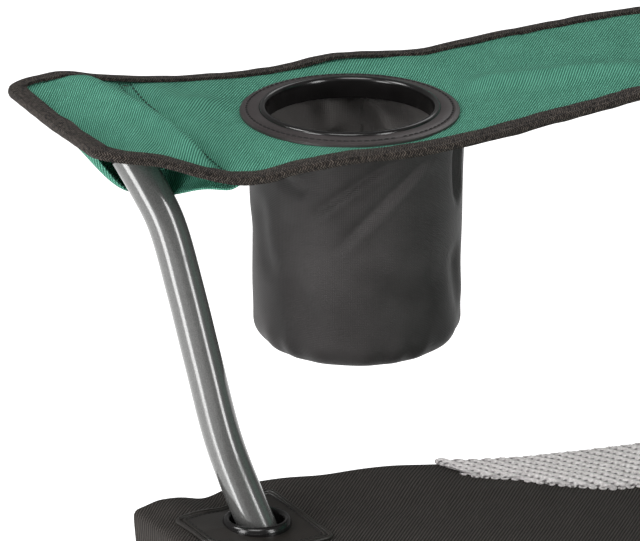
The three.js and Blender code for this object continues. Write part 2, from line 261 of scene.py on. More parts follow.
def sweep(name, path, across, up, section, closed=False, sharp=50):
    """A closed section, given in (across, up) millimetres, swept along a path."""
    path, section = np.asarray(path, float), np.asarray(section, float)
    if section.ndim == 2:
        section = np.broadcast_to(section, (len(path), *section.shape))
    k = section.shape[1]
    verts = (path[:, None] + across[:, None] * section[..., :1]
             + up[:, None] * section[..., 1:2]).reshape(-1, 3)
    uvs = grid_of(run_along(path)[:, None], run_along(section[0])[None]).reshape(-1, 2)
    faces = []
    n = len(path)
    for i in range(n if closed else n - 1):
        a, b = i * k, ((i + 1) % n) * k
        faces.extend((a + j, a + (j + 1) % k, b + (j + 1) % k, b + j) for j in range(k))
    if not closed:
        faces.append(tuple(range(k))[::-1])
        faces.append(tuple(range((n - 1) * k, n * k)))
    return make(name, verts, faces, uvs, sharp)


def tangents(path, closed=False):
    if closed:
        return unit(np.roll(path, -1, axis=0) - np.roll(path, 1, axis=0))
    return unit(np.gradient(np.asarray(path, float), axis=0))


def tube(name, path, radius, sides=32, ends=True):
    """A round tube with softly turned ends; radius is a number or one per point."""
    path = np.asarray(path, float)
    radius = np.broadcast_to(radius, len(path)).astype(float)
    if ends:
        ahead = unit(path[:1] - path[1:2])
        behind = unit(path[-1:] - path[-2:-1])
        inset, narrow = 0.5, 0.93
        path = np.concatenate([path[:1], path[:1] - ahead * inset, path[1:-1],
                               path[-1:] - behind * inset, path[-1:]])
        radius = np.concatenate([radius[:1] * narrow, radius, radius[-1:] * narrow])
    ahead = tangents(path)
    across = np.cross(ahead[0], [0, 0, 1.0])
    if np.linalg.norm(across) < 0.1:
        across = np.cross(ahead[0], [0, 1.0, 0])
    sides_across = [unit(across)]
    for t in ahead[1:]:
        last = sides_across[-1]
        sides_across.append(unit(last - t * np.dot(last, t)))
    across = np.array(sides_across)
    up = np.cross(ahead, across)
    return sweep(name, path, across, up, radius[:, None, None] * circle(sides))


def turned(name, profile, at, axis=(0, 0, 1), sides=96):
    """A closed (radius, height) profile turned about an axis through at."""
    axis = unit(np.array(axis, float))
    side = unit(np.cross(axis, [0, 1.0, 0] if abs(axis[1]) < 0.9 else [1.0, 0, 0]))
    other = np.cross(axis, side)
    angle = np.linspace(0, 2 * math.pi, sides, endpoint=False)
    spoke = np.cos(angle)[:, None] * side + np.sin(angle)[:, None] * other
    profile = np.asarray(profile, float)
    verts = (np.asarray(at, float) + spoke[:, None] * profile[None, :, :1]
             + axis * profile[None, :, 1:2]).reshape(-1, 3)
    k = len(profile)
    faces = []
    for i in range(sides):
        a, b = i * k, ((i + 1) % sides) * k
        faces.extend((a + j, b + j, b + (j + 1) % k, a + (j + 1) % k) for j in range(k))
    arc = angle * np.max(profile[:, 0])
    uvs = grid_of(arc[:, None], run_along(profile)[None]).reshape(-1, 2)
    return make(name, verts, faces, uvs)


def merged(name, parts):
    """One object from several (points, faces) shells that don't touch each other."""
    verts, faces, offset = [], [], 0
    for points, shell in parts:
        verts.append(points)
        faces.extend(tuple(v + offset for v in face) for face in shell)
        offset += len(points)
    verts = np.concatenate(verts)
    return make(name, verts, faces, verts[:, :2])


def stitches(name, paths, pitch, length, thick):
    """Dashes of thread lying along paths on cloth that faces up."""
    ring = [(math.cos(k * math.pi / 3), math.sin(k * math.pi / 3)) for k in range(6)]
    rings = [(-0.5, 0.35), (-0.32, 0.9), (0.0, 1.0), (0.32, 0.9), (0.5, 0.35)]
    shell = [tuple(range(6))[::-1], tuple(range(24, 30))]
    for i in range(4):
        shell.extend((i * 6 + j, i * 6 + (j + 1) % 6, (i + 1) * 6 + (j + 1) % 6,
                      (i + 1) * 6 + j) for j in range(6))
    parts = []
    for path in paths:
        middles = resample(path, pitch)
        ahead = tangents(middles)
        side = unit(np.cross(ahead, UP))
        up = np.cross(side, ahead)
        for p, t, s, u in zip(middles[1:-1], ahead[1:-1], side[1:-1], up[1:-1]):
            points = [p + t * (a * length) + (s * c + u * (d * 0.7)) * thick * r
                      for a, r in rings for c, d in ring]
            parts.append((np.array(points), shell))
    return merged(name, parts)


CLOTH = 1.8                      # thickness of the arms' and the back's cloth
TAPE_STEP = 3.0                  # between the points of a bound edge


def binding(name, path, inward, normal, seed):
    """Woven tape folded over an edge of cloth."""
    width = 7.2
    half = CLOTH / 2 + 0.15
    outer = half + 1.5
    base = np.array([(width, half), (width, outer), (width * 0.55, outer + 0.25), (1.2, outer),
                     (-0.9, outer * 0.75), (-1.7, 0), (-0.9, -outer * 0.75), (1.2, -outer),
                     (width * 0.55, -outer - 0.25), (width, -outer), (width, -half),
                     (0.2, -half), (-0.3, 0), (0.2, half)])
    steps = np.arange(len(path)) * TAPE_STEP
    wave = ripple(steps, steps * 0, seed, wave=26)
    lift = ripple(steps, steps * 0 + 9, seed + 1, wave=17)
    # the tape's long edges wander, and its two faces lie unevenly
    section = np.broadcast_to(base, (len(path), *base.shape)).copy()
    section[:, :, 0] += (wave * 1.1)[:, None] * (base[:, 0] > 4)
    face = (np.abs(base[:, 1]) > half + 0.1) * np.sign(base[:, 1])
    section[:, :, 1] += (lift * 0.35)[:, None] * face
    return sweep(name, path, inward, normal, section, sharp=40)


# ---- finishes --------------------------------------------------------------
class Finish:
    """A node material built step by step round one Principled shader."""

    def __init__(self, name, roughness, metallic=0.0, **sockets):
        self.material = bpy.data.materials.new(name)
        self.material.use_nodes = True
        self.tree = self.material.node_tree
        self.shader = self.tree.nodes["Principled BSDF"]
        self.shader.inputs["Roughness"].default_value = roughness
        self.shader.inputs["Metallic"].default_value = metallic
        for socket, value in sockets.items():
            self.shader.inputs[socket.replace("_", " ")].default_value = value

    def node(self, kind, **settings):
        node = self.tree.nodes.new(kind)
        for key, value in settings.items():
            if key in node.bl_rna.properties:
                setattr(node, key, value)
            else:
                node.inputs[key.replace("_", " ")].default_value = value
        return node

    def join(self, source, target):
        self.tree.links.new(source, target)

    def maths(self, operation, a, b=0.0):
        node = self.node("ShaderNodeMath", operation=operation)
        for socket, value in zip(node.inputs, (a, b)):
            if isinstance(value, (int, float)):
                socket.default_value = value
            else:
                self.join(value, socket)
        return node.outputs[0]

    def plus(self, a, b):
        return self.maths("ADD", a, b)

    def minus(self, a, b):
        return self.maths("SUBTRACT", a, b)

    def times(self, a, b):
        return self.maths("MULTIPLY", a, b)

    def weave_axes(self):
        uv = self.node("ShaderNodeUVMap", uv_map="weave")
        split = self.node("ShaderNodeSeparateXYZ")
        self.join(uv.outputs[0], split.inputs[0])
        return split.outputs[0], split.outputs[1]

    def wave(self, value, pitch):
        """0 to 1 along a length in mm."""
        angle = self.times(value, 2 * math.pi / pitch)
        return self.plus(self.times(self.maths("SINE", angle), 0.5), 0.5)

    def noise(self, scale, detail, roughness=0.5):
        place = self.node("ShaderNodeTexCoord")
        noise = self.node("ShaderNodeTexNoise", Scale=scale, Detail=detail, Roughness=roughness)
        self.join(place.outputs["Object"], noise.inputs["Vector"])
        return noise.outputs["Fac"]

    def mix(self, share, dark, light):
        mix = self.node("ShaderNodeMix", data_type="RGBA")
        self.join(share, mix.inputs[0])
        for socket, colour in ((mix.inputs[6], dark), (mix.inputs[7], light)):
            if isinstance(colour, tuple):
                socket.default_value = (*colour, 1)
            else:
                self.join(colour, socket)
        return mix.outputs[2]

    def ramp(self, value, low, high):
        node = self.node("ShaderNodeMapRange")
        node.inputs["From Min"].default_value = low
        node.inputs["From Max"].default_value = high
        self.join(value, node.inputs["Value"])
        return node.outputs[0]

    def clouds(self, scale, detail, low, high, roughness=0.5):
        """0 to 1 where the noise goes from low to high."""
        return self.ramp(self.noise(scale, detail, roughness), low, high)

    def colour(self, socket):
        self.join(socket, self.shader.inputs["Base Color"])

    def relief(self, height, depth_mm, strength=1.0):
        bump_node = self.node("ShaderNodeBump", Strength=strength, Distance=depth_mm * MM)
        self.join(height, bump_node.inputs["Height"])
        self.join(bump_node.outputs[0], self.shader.inputs["Normal"])


def twill(name, dark, light, pitch, sheen):
    """Diagonal ribs crossed by finer threads, with a faint cloudiness."""
    finish = Finish(name, 0.85, Sheen_Weight=sheen, Sheen_Roughness=0.5, Specular_IOR_Level=0.12)
    u, v = finish.weave_axes()
    rib = finish.wave(finish.plus(u, v), pitch)
    thread = finish.wave(finish.minus(u, v), pitch * 0.62)
    height = finish.times(rib, finish.plus(finish.times(thread, 0.55), 0.45))
    cloud = finish.clouds(90, 6, 0.25, 0.75, 0.65)
    share = finish.plus(finish.times(height, 0.88), finish.times(cloud, 0.12))
    finish.colour(finish.mix(share, dark, light))
    finish.relief(height, 0.35)
    return finish.material


def tape_finish():
    """Brown-black woven binding: a herringbone of slanted strokes, some of them paler."""
    finish = Finish("binding_tape", 0.9, Sheen_Weight=0.05, Specular_IOR_Level=0.12)
    u, v = finish.weave_axes()
    side = finish.maths("GREATER_THAN", finish.maths("SINE", finish.times(v, 1.9)), 0)
    lean = finish.minus(finish.times(side, 1.6), 0.8)
    stroke = finish.wave(finish.plus(u, finish.times(v, lean)), 1.35)
    fleck = finish.times(stroke, finish.clouds(620, 2, 0.25, 0.75))
    finish.colour(finish.mix(finish.ramp(fleck, 0.1, 0.9), (0.007, 0.0055, 0.005),
                             (0.135, 0.110, 0.092)))
    finish.relief(stroke, 0.6)
    return finish.material


def nylon_finish(name, dark, light):
    """Thin black bag nylon: fine plain weave, soft broad gloss."""
    finish = Finish(name, 0.5, Sheen_Weight=0.02, Sheen_Roughness=0.4, Specular_IOR_Level=0.16)
    u, v = finish.weave_axes()
    finish.colour(finish.mix(finish.clouds(24, 4, 0.3, 0.7), dark, light))
    finish.relief(finish.plus(finish.wave(u, 0.9), finish.wave(v, 0.9)), 0.07)
    return finish.material


def vinyl_finish(name, dark, light, roughness):
    """Soft vinyl with a fine grain."""
    finish = Finish(name, roughness, Specular_IOR_Level=0.5)
    finish.colour(finish.mix(finish.clouds(60, 4, 0.3, 0.7), dark, light))
    finish.relief(finish.noise(900, 3, 0.6), 0.12, 0.6)
    return finish.material


def plastic_finish(name, colour, roughness):
    finish = Finish(name, roughness, Specular_IOR_Level=0.5)
    light = tuple(c * 1.5 for c in colour)
    finish.colour(finish.mix(finish.clouds(90, 5, 0.35, 0.75), colour, light))
    finish.relief(finish.noise(1800, 2), 0.05, 0.5)
    return finish.material


def paint_finish():
    """Grey metallic paint with fine flakes, a faint orange peel and a few rubbed specks."""
    finish = Finish("tube_paint", 0.2, 0.3, Coat_Weight=0.6, Coat_Roughness=0.06,
                    Specular_IOR_Level=0.5)
    flake = finish.clouds(1900, 3, 0.34, 0.66)
    grey = finish.mix(flake, (0.070, 0.070, 0.068), (0.120, 0.120, 0.117))
    rub = finish.clouds(160, 8, 0.70, 0.78, 0.7)
    finish.colour(finish.mix(rub, grey, (0.20, 0.20, 0.195)))
    finish.relief(finish.noise(420, 2), 0.015, 0.3)
    return finish.material


def steel_finish():
    finish = Finish("rivet_steel", 0.32, 1.0)
    finish.colour(finish.mix(finish.clouds(240, 6, 0.3, 0.7), (0.42, 0.42, 0.42),
                             (0.62, 0.62, 0.61)))
    finish.relief(finish.noise(900, 2), 0.03, 0.5)
    return finish.material


RIB_PITCH = 5.5                  # between rows of the light mesh, mm
LOOP_PITCH = 3.4                 # between the loops of one row


def spacer_finish():
    """Light grey spacer mesh: rows of loops with dark gaps between them."""
    finish = Finish("spacer_mesh", 0.8, Sheen_Weight=0.1, Specular_IOR_Level=0.25)
    u, v = finish.weave_axes()
    row = finish.wave(v, RIB_PITCH)
    loop = finish.wave(finish.plus(u, finish.times(v, 0.4)), LOOP_PITCH)
    gap = finish.times(finish.maths("POWER", loop, 1.5),
                       finish.maths("POWER", finish.minus(1.0, row), 1.6))
    speck = finish.clouds(700, 2, 0.35, 0.7)
    thread = finish.mix(speck, (0.46, 0.432, 0.430), (0.70, 0.668, 0.664))
    finish.colour(finish.mix(finish.ramp(gap, 0.15, 0.75), thread, (0.13, 0.118, 0.118)))
    finish.relief(finish.minus(row, finish.times(gap, 0.8)), 0.9)
    return finish.material


GREEN = twill("green_twill", (0.006, 0.064, 0.040), (0.175, 0.500, 0.365), pitch=1.8,
              sheen=0.0)
BLACK = twill("black_twill", (0.005, 0.0042, 0.0036), (0.066, 0.058, 0.053), pitch=2.1,
              sheen=0.02)
TAPE = tape_finish()
NYLON = nylon_finish("bag_nylon", (0.019, 0.0172, 0.0170), (0.037, 0.034, 0.0338))
# The bag's lining: its grey is painted lighter than the cloth's own, as painted light standing in
# for light that falls into the cup.
LINING_WITH_PAINTED_LIGHT = nylon_finish("bag_lining_painted_light", (0.100, 0.094, 0.090), (0.170, 0.160, 0.155))
RING_VINYL = vinyl_finish("ring_vinyl", (0.026, 0.021, 0.021), (0.042, 0.035, 0.035), 0.42)
PATCH_VINYL = vinyl_finish("patch_vinyl", (0.012, 0.0105, 0.009), (0.022, 0.019, 0.017), 0.36)
GLOSS = plastic_finish("gloss_plastic", (0.006, 0.0055, 0.0055), 0.18)
MOULDED = plastic_finish("moulded_plastic", (0.010, 0.010, 0.010), 0.45)
THREAD = vinyl_finish("black_thread", (0.004, 0.0035, 0.0035), (0.010, 0.009, 0.008), 0.8)
GREEN_THREAD = vinyl_finish("green_thread", (0.003, 0.030, 0.018), (0.006, 0.055, 0.034), 0.8)
PAINT = paint_finish()
STEEL = steel_finish()
SPACER = spacer_finish()


# ---- tubes and rivets ------------------------------------------------------
def x_tubes():
    """Smooth tubes in place of the eight faceted scissor tubes, with plugs in their ends."""
    for side in ("front", "rear", "left", "right"):
        for rise in ("rising", "falling"):
            node = f"{side}_{rise}_tube"
            low, high = box_mm(node)
            along = 0 if side in ("front", "rear") else 1
            across = 1 - along
            start, end = low.copy(), high.copy()
            start[across] = end[across] = (low[across] + high[across]) / 2
            if rise == "falling":
                start[along], end[along] = high[along], low[along]
            slope = unit((end - start)[None])[0]
            # the box's corners lie outside the slanted tube's ends by its radius
            lean = X_TUBE_R * np.array([abs(slope[2]), abs(slope[2]), 0])
            lean[across] = 0
            lean[2] = X_TUBE_R * np.linalg.norm(slope[:2])
            sign = np.sign(end - start)
            start, end = start + sign * lean, end - sign * lean
            path = resample([start, end], 40)
            piece = tube(f"{node}_smooth", path, X_TUBE_R)
            finish_piece(piece, BODY[node], PAINT, node)
            for tag, at, way in (("low", start, -slope), ("high", end, slope)):
                plug = turned(f"{node}_{tag}_plug", [(0.01, 2.2), (4.5, 1.9), (6.6, 0.9),
                                                     (7.0, 0.1), (7.0, -4), (0.01, -4)],
                              at, way, 32)
                finish_piece(plug, BODY[node], MOULDED)


# Run from the corner's column, and height, along the bent arm post; it leans out and forward.
POST_PROFILE = [(-5, 403), (6, 424), (20, 450), (38, 489), (50, 530), (60, 566), (70, 598),
                (81, 617), (92, 632)]
POST_OUT, POST_FORWARD = 0.84, 0.543


def post_points(side):
    return [(side * (CORNER + POST_OUT * run), -CORNER + MID_Y - POST_FORWARD * run, z)
            for run, z in POST_PROFILE]


def upright_y(z):
    """Middle of the rear upright: straight, then leaning back."""
    bend, soft = 690.0, 30
    slope = (UPRIGHT_HIGH[1] - POST_R - REAR_Y) / (UPRIGHT_HIGH[2] - bend)
    curve = np.clip(z - bend + soft, 0, None) ** 2 / (4 * soft)
    return REAR_Y + slope * np.where(z > bend + soft, z - bend, curve)


def posts_and_uprights():
    for side, word in ((-1, "left"), (1, "right")):
        path = smooth_path(post_points(side), 4.0)
        post = tube(f"{word}_arm_post_smooth", path, POST_R, 48)
        finish_piece(post, BODY[f"{word}_arm_post"], PAINT, f"{word}_arm_post")
        z = np.linspace(UPRIGHT_LOW[2], UPRIGHT_HIGH[2] - 1.4, 90)
        path = np.stack([np.full_like(z, side * CORNER), upright_y(z), z], axis=1)
        upright = tube(f"rear_{word}_upright_smooth", path, POST_R, 48)
        node = f"rear_{word}_upright"
        finish_piece(upright, BODY[node], PAINT, node)


def rivets():
    """Domed rivets in place of the faceted ones, along each one's own axis."""
    for node in SLOT:
        if SLOT[node] != "rivet_steel":
            continue
        low, high = box_mm(node)
        size = high - low
        axis = int(np.argmax(size))
        half = size[axis] / 2
        head = 6.0
        profile = [(0.01, half), (2.4, half - 0.25), (4.4, half - 1.0), (head - 0.3, half - 2.0),
                   (head, half - 2.5), (3.0, half - 2.5)]
        if "cross" in node:
            profile += [(3.0, 1.7), (6.4, 1.7), (6.4, -1.7), (3.0, -1.7)]
        profile += [(r, -z) for r, z in reversed(profile[:6])]
        way = np.zeros(3)
        way[axis] = 1
        piece = turned(f"{node}_turned", profile, (low + high) / 2, way, 32)
        finish_piece(piece, BODY[node], STEEL, node)


# ---- moulded corner pieces -------------------------------------------------
def shell_of(obj):
    points = np.array([v.co[:] for v in obj.data.vertices]) / MM
    faces = [tuple(p.vertices) for p in obj.data.polygons]
    bpy.data.objects.remove(obj)
    return points, faces


def bar(a, b, half_width, half_height):
    """A straight level bar with bevelled edges."""
    path = np.array([a, b], float)
    ahead = unit(path[1:] - path[:1])
    across = unit(np.cross(ahead, UP))
    rise = np.cross(across, ahead)
    cut = 1.6
    w, h = half_width, half_height
    section = [(w, -h + cut), (w, h - cut), (w - cut, h), (-w + cut, h), (-w, h - cut),
               (-w, -h + cut), (-w + cut, -h), (w - cut, -h)]
    return shell_of(sweep("bar", path, np.repeat(across, 2, axis=0), np.repeat(rise, 2, axis=0),
                          section))


def disc(at, axis, radius, half):
    edge = 1.2
    profile = [(0.01, half), (radius - edge, half), (radius, half - edge),
               (radius, -half + edge), (radius - edge, -half), (0.01, -half)]
    return shell_of(turned("disc", profile, at, axis, 48))


def moulding(node, shells):
    """The joined shells as one moulded piece with soft inner corners."""
    obj = merged(f"{node}_moulded", shells)
    remesh = obj.modifiers.new("fuse", "REMESH")
    remesh.mode = "VOXEL"
    remesh.voxel_size = 1.15 * MM
    remesh.use_smooth_shade = True
    soften = obj.modifiers.new("soften", "SMOOTH")
    soften.iterations = 4
    soften.factor = 0.6
    bake_modifiers(obj)
    finish_piece(obj, BODY[node], MOULDED, node)


def bake_modifiers(obj):
    graph = bpy.context.evaluated_depsgraph_get()
    mesh = bpy.data.meshes.new_from_object(obj.evaluated_get(graph))
    obj.modifiers.clear()
    obj.data = mesh
    if "weave" not in mesh.uv_layers:
        mesh.uv_layers.new(name="weave")


def tongue_shells(node, z):
    """The column's place on the floor, and the tongues from it to the eyes round its pins."""
    sx = 1 if centre_mm(node)[0] > 0 else -1
    sy = 1 if centre_mm(node)[1] > MID_Y else -1
    column = np.array([sx * CORNER, sy * CORNER + MID_Y, z])
    shells = []
    pins = [n for n in frame["record"]["behaviour"]["bodies"][BODY[node]] if n.endswith("_pin")]
    for pin in pins:
        a, b = box_mm(pin)
        middle = (a + b) / 2
        axis = int(np.argmax(b - a))
        # the tongue stands on the pin's end that its tube leaves free
        centre = column[axis]
        offset = middle[axis] - centre
        tongue = centre - math.copysign(2.4, offset)
        start, end = column.copy(), np.array([middle[0], middle[1], z])
        start[axis] = end[axis] = tongue
        shells.append(bar(start, end, 4.0, 12.0))
        way = np.zeros(3)
        way[axis] = 1
        shells.append(disc(end, way, 12.0, 4.0))
    return np.array([column[0], column[1], 0]), shells


def ring_shell(at, outer, inner, low, high):
    edge = 1.2
    profile = [(inner, high), (outer - edge, high), (outer, high - edge), (outer, low + edge),
               (outer - edge, low), (inner, low)]
    return shell_of(turned("ring", profile, at, (0, 0, 1), 64))


def mouldings():
    """Feet, sliders and brackets: tongues, with a sleeve or socket round the column."""
    pin_z = centre_mm("front_rising_foot_pin")[2]
    top_z = centre_mm("front_rising_top_pin")[2]
    sleeve_r, solid = 14.5, 0.01
    for node in ("front_left_foot", "front_right_foot", "rear_left_foot", "rear_right_foot"):
        base, shells = tongue_shells(node, pin_z)
        pad = [(0.01, 0), (20.0, 0), (21.6, 1.2), (22.0, 3.5), (22.0, 11.5), (20.6, 14.5),
               (14.5, 19.5), (14.5, 22), (0.01, 22)]
        shells.append(shell_of(turned("pad", pad, base, (0, 0, 1), 64)))
        bore, high = (9.9, 72) if node.startswith("rear") else (solid, 54)
        shells.append(ring_shell(base, sleeve_r, bore, 18, high))
        moulding(node, shells)
    for node in ("rear_left_slider", "rear_right_slider"):
        base, shells = tongue_shells(node, top_z)
        shells.append(ring_shell(base, sleeve_r, 10.1, top_z - 20, top_z + 20))
        moulding(node, shells)
    for node, side in (("front_left_bracket", -1), ("front_right_bracket", 1)):
        base, shells = tongue_shells(node, top_z)
        shells.append(ring_shell(base, sleeve_r, solid, top_z - 20, top_z + 5))
        foot, _, eye = post_points(side)[:3]
        socket = resample([foot, tuple(np.array(foot) + (np.array(eye) - foot) * 0.62)], 6)
        shells.append(shell_of(tube("socket", socket, 14.0, 48)))
        moulding(node, shells)


# ---- arms ------------------------------------------------------------------
SEAM = 67.0                      # the pocket's cross seam, behind the front edge
CORNER_ROUND = 12.0

# Height of each edge of the arm over its ends, by distance behind the front edge.
ARM_INNER_EDGE = profile([(0, 0.5), (16, -3), (32, -6), (50, -13.5), (70, -20.5), (85, -20),
                          (99, -16), (128, -12.5), (170, -12), (215, -10), (260, -6.4),
                          (282, -3), (336, 0), (572, 0)])
ARM_OUTER_EDGE = profile([(0, -0.5), (8, 0), (21, 2), (36, 3), (62, -3.4), (97, -9),
                          (136, -13), (161, -12), (183, -8), (226, -9), (266, -3), (312, 1),
                          (338, 2), (420, 0), (572, 0)])


def arm_plan(y, cup):
    """The arm's half width, and how far its middle is from the chair's."""
    share = (y - ARM_FRONT) / (ARM_REAR - ARM_FRONT)
    swell = 15 * bump(y, RING[1], 70) if cup else 0 * y
    return 60 - 8 * share + swell, 346 - 74 * share


def arm_height(x, y, t, cup):
    """Middle of the arm's cloth; t runs from the outer edge, -1, to the inner edge, 1."""
    q = y - ARM_FRONT
    share = (t + 1) / 2
    z = ARM_Z + ARM_OUTER_EDGE(q) * (1 - share) + ARM_INNER_EDGE(q) * share
    middle = 1 - bump(np.abs(t), 1, 0.2)
    # the pocket: a valley behind the front edge, a crest over the post's end, a pinched seam
    valley = 12.0 * bump(q, 19, 10) * (0.2 + 0.8 * ease(t, -0.8, 0.2) - 0.6 * ease(t, 0.2, 0.85))
    top = 43 + 12 * ease(t, -0.9, 0.5)
    crest = (6.5 + 3.5 * ease(t, -0.9, 0.1)) * bump(q, top, np.where(q < top, 10, 6.5))
    pinch = 4.2 * bump(q, SEAM, 4.5) - 1.8 * bump(q, SEAM + 15, 8)
    z = z + (crest - valley - pinch) * middle
    if cup:
        away = np.hypot(x - RING[0], y - RING[1])
        near = ease(away, RING_OUTER - 3, RING_OUTER + 24)
        fold_one = 3.6 * bump(t, -0.42, 0.16) * ease(q, SEAM + 4, SEAM + 30) * ease(-q, -125, -92)
        slant = t - (y - RING[1] - 60) * 0.006
        fold_two = 4.4 * bump(slant, -0.1, 0.16) * ease(y, RING[1] + 40, RING[1] + 75)
        fold_two = fold_two * ease(-y, -RING[1] - 170, -RING[1] - 110)
        level = ARM_Z - ARM_SAG
        z = level + (z + fold_one + fold_two - level) * near + 0.7 * (1 - near)
    wave = 0.5 * ripple(x, y, 3, 42) + 0.22 * ripple(x, y, 4, 16)
    return z + wave * ease(q, 0, 20)


def arm_front_edge(t):
    """The front edge runs a little back towards the outside, with rounded corners."""
    corner = np.clip((np.abs(t) - 0.84) / 0.16, 0, 1)
    return ARM_FRONT + 3.2 * (1 - t) + CORNER_ROUND * (1 - np.sqrt(1 - corner ** 2))


def arm_grid(side, cup, low, high, rows, cols):
    v = np.linspace(0, 1, rows)[:, None]
    t = np.linspace(-1, 1, cols)[None, :]
    front = arm_front_edge(t) if low == ARM_FRONT else low
    y = front + (high - front) * v
    half, middle = arm_plan(y, cup)
    x = side * (middle - t * half)
    z = arm_height(x, y, t + 0 * y, cup)
    return grid_of(x, y, z)


def edge_frames(path, toward):
    """Level directions along an edge that point to the cloth's side of it, and up from them."""
    ahead = tangents(path)
    up = unit(UP - ahead * ahead[:, 2:3])
    inward = np.cross(up, ahead)
    if np.mean(np.einsum("ij,ij->i", inward, toward - path)) < 0:
        inward = -inward
    return inward, up


def soften(path, rounds):
    path = path.copy()
    for _ in range(rounds):
        path[1:-1] = (path[:-2] + 2 * path[1:-1] + path[2:]) / 4
    return path


def arm_edges(grid):
    outer, inner, front = grid[::-1, 0], grid[:, -1], grid[0, 1:-1]
    return np.concatenate([outer, front, inner])


def laid_out(grid):
    """Cloth coordinates: across as in plan, along measured over the surface from the far end."""
    lengths = np.linalg.norm(np.diff(grid[:, :, 1:], axis=0), axis=-1)
    steps = lengths - np.diff(grid[:, :, 1], axis=0)
    extra = np.concatenate([np.cumsum(steps.mean(axis=1)[::-1])[::-1], [0]])
    return np.stack([grid[..., 0], grid[..., 1] - extra[:, None]], axis=-1)


def round_hole(points, middle, radius, reach):
    """Move the grid's points within reach of a circle onto it; the cells outside it stay."""
    offset = points[..., :2] - middle[:2]
    away = np.linalg.norm(offset, axis=-1)
    cells = (away[:-1, :-1] + away[1:, :-1] + away[:-1, 1:] + away[1:, 1:]) / 4
    snapped = middle[:2] + offset * (radius / np.maximum(away, 1e-6))[..., None]
    rim = np.abs(away - radius) < reach
    points[..., :2] = np.where(rim[..., None], snapped, points[..., :2])
    return cells > radius


def arm_front(word, side, cup):
    body = BODY[f"{word}_arm_front"]
    grid = arm_grid(side, cup, ARM_FRONT, ARM_SPLIT, 150, 76)
    keep = round_hole(grid, RING, RING_INNER + 3.0, 1.9) if cup else None
    piece = cloth(f"{word}_arm_cloth", grid, CLOTH, laid_out(grid), side < 0, keep=keep)
    finish_piece(piece, body, GREEN, f"{word}_arm_front")
    edge = resample(soften(arm_edges(grid), 3), TAPE_STEP)
    inward, up = edge_frames(edge, grid[len(grid) // 2, grid.shape[1] // 2])
    tape = binding(f"{word}_arm_binding", edge, inward, up, seed=5 + side)
    finish_piece(tape, body, TAPE)
    rows = []
    for q in (SEAM - 3.2, SEAM + 3.2):
        t = np.linspace(-0.93, 0.93, 60)
        y = np.full_like(t, ARM_FRONT + q)
        half, centre = arm_plan(y, cup)
        x = side * (centre - t * half)
        z = arm_height(x, y, t, cup) + CLOTH / 2 - 0.05
        rows.append(np.stack([x, y, z], axis=1))
    seam = stitches(f"{word}_arm_seam", rows, 2.9, 2.3, 0.7)
    finish_piece(seam, body, GREEN_THREAD)
    pocket(word, side, cup, body)


def pocket(word, side, cup, body):
    """The pocket's lower layer, slack below the arm, with a notch where the post enters."""
    rows, cols = 54, 60
    v = np.linspace(0, 1, rows)[:, None]
    u = np.linspace(0, 1, cols)[None, :]
    level = -0.96 * (1 - 2 * u)
    front = arm_front_edge(level) + 1.5
    y = front + (ARM_FRONT + SEAM + 6 - front) * v
    q = y - ARM_FRONT
    half, middle = arm_plan(y, cup)
    notch = 50 * ease(q, 4, 10) * ease(-q, -68, -42)
    inner = middle - half + 3 + notch
    outer = middle + half - 3
    x_out = outer + (inner - outer) * u
    t = (middle - x_out) / half
    share = (t + 1) / 2
    x = side * x_out
    z = ARM_Z + ARM_OUTER_EDGE(q) * (1 - share) + ARM_INNER_EDGE(q) * share
    belly = 4 + 32 * ease(t, -1, 0.1) - 22 * ease(t, 0.3, 1)
    lip = 5.0 * ease(v, 0, 0.08) * (1 - 0.8 * ease(t, -0.2, 0.5))
    slack = (lip + belly * ease(v, 0.04, 0.6)) * (1 - v ** 3)
    z = z - CLOTH - slack - ripple(x, y, 8, 38) * np.sin(math.pi * v)
    grid = grid_of(x, y, z)
    piece = cloth(f"{word}_arm_pocket", grid, 1.0, flip=side < 0)
    finish_piece(piece, body, GREEN)
    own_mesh(piece)


def arm_rear(word, side, cup):
    node = f"{word}_arm_rear"
    grid = arm_grid(side, cup, ARM_SPLIT - 0.3, ARM_REAR, 120, 60)
    piece = cloth(f"{word}_arm_rear_cloth", grid, CLOTH, flip=side < 0)
    finish_piece(piece, None, GREEN, node)
    pieces = [piece]
    for tag, edge in (("outer", grid[:, 0]), ("inner", grid[:, -1])):
        edge = resample(soften(edge, 2), TAPE_STEP)
        inward, up = edge_frames(edge, grid[60, 30])
        tape = binding(f"{word}_arm_rear_{tag}_binding", edge, inward, up, seed=9 + side)
        pieces.append(finish_piece(tape, None, TAPE))
    for part in pieces:
        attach(part, BODY[node])
        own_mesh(part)
    loop_path = np.array([[side * CORNER, REAR_Y, z] for z in np.linspace(631, 667, 14)])
    radius = POST_R + 1.9 + 0.25 * ripple(loop_path[:, 2], 0, 12, 12)
    loop = tube(f"{word}_arm_loop", loop_path, radius, 48, ends=False)
    finish_piece(loop, BODY[node], GREEN)


